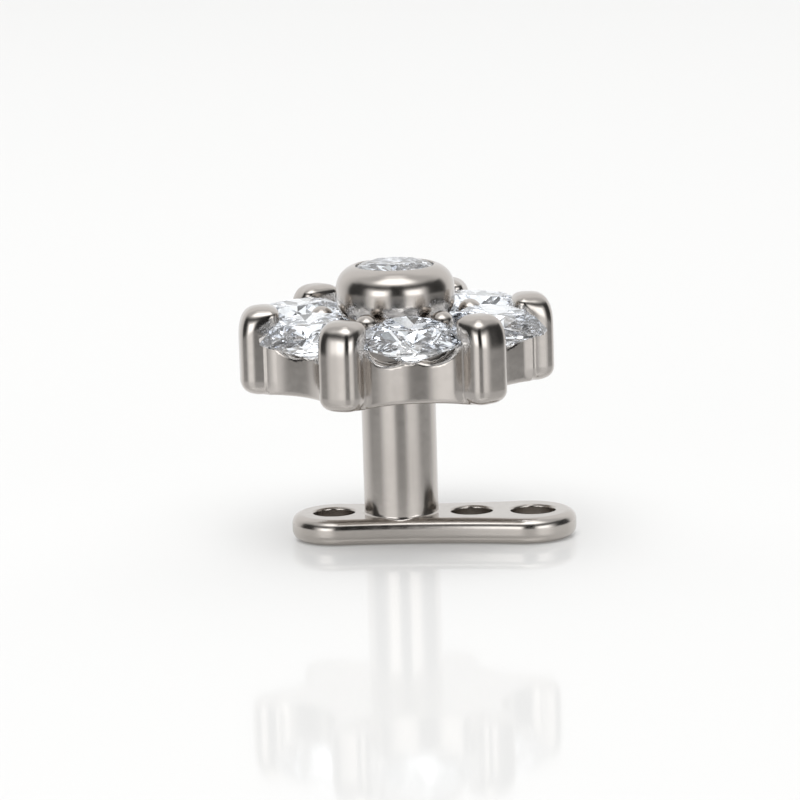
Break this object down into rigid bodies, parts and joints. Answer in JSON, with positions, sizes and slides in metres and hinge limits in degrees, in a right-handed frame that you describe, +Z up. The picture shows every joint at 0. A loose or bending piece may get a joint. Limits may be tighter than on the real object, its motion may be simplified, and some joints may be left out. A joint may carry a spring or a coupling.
{
  "type": "dermal anchor with jewelled flower top",
  "caption": "Micro-dermal body jewel: pierced foot plate and post carrying a screw-in flower top of round stones around a raised bezel-set stone.",
  "frame": {"origin": "where the post's axis meets the underside of the foot plate", "axes": "+Z up along the post towards the flower, +X towards the long toe of the foot plate"},
  "size_m": [0.0085, 0.0078, 0.0072],
  "materials": {
    "titanium": "mirror polished titanium, warm grey",
    "stone": "clear faceted cubic zirconia"
  },
  "bodies": {
    "root": {"anchor": "titanium", "flower_setting": "titanium", "centre_stone": "stone", "petal_stone_1": "stone", "petal_stone_2": "stone", "petal_stone_3": "stone", "petal_stone_4": "stone", "petal_stone_5": "stone", "petal_stone_6": "stone"}
  },
  "joints": []
}
